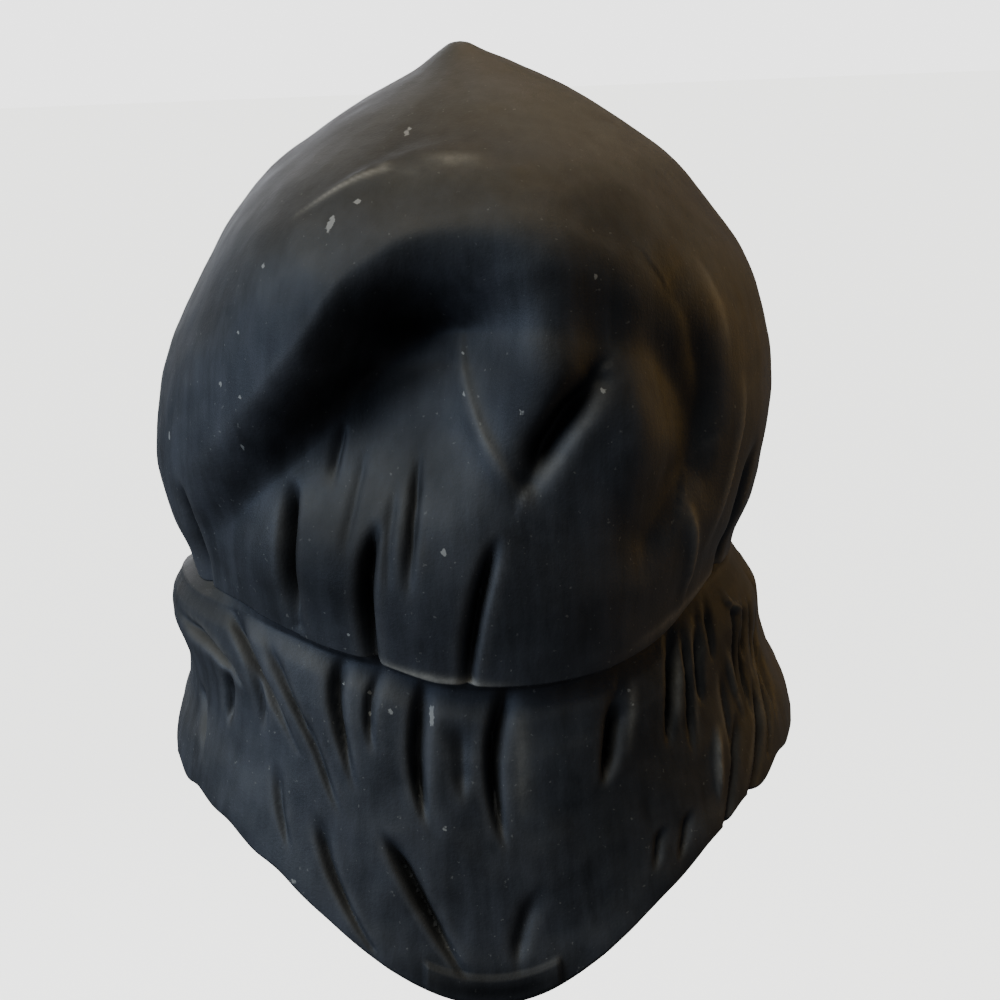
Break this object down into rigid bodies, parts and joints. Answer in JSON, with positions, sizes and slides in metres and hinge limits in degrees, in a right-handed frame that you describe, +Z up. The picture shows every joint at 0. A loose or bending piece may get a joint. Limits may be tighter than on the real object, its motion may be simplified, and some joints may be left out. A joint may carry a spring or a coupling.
{
  "type": "latex grim reaper mask",
  "caption": "Over-the-head latex hood with a plain skull face, a lapped hem, pleats and a gathered collar open at the neck.",
  "frame": {"origin": "where the crown of the wearer's head touches inside the hood", "axes": "+Z up to the hood's peak, +Y the way the face looks, +X to the right seen from behind"},
  "size_m": [0.2871, 0.2934, 0.3781],
  "materials": {
    "black_latex": "matte to satin, dusty, scuffed along the ridges",
    "bone_latex": "matte, painted bone with dark washes in the hollows"
  },
  "bodies": {
    "root": {"hood_shell": "black_latex", "skull_face": "bone_latex"}
  },
  "joints": []
}
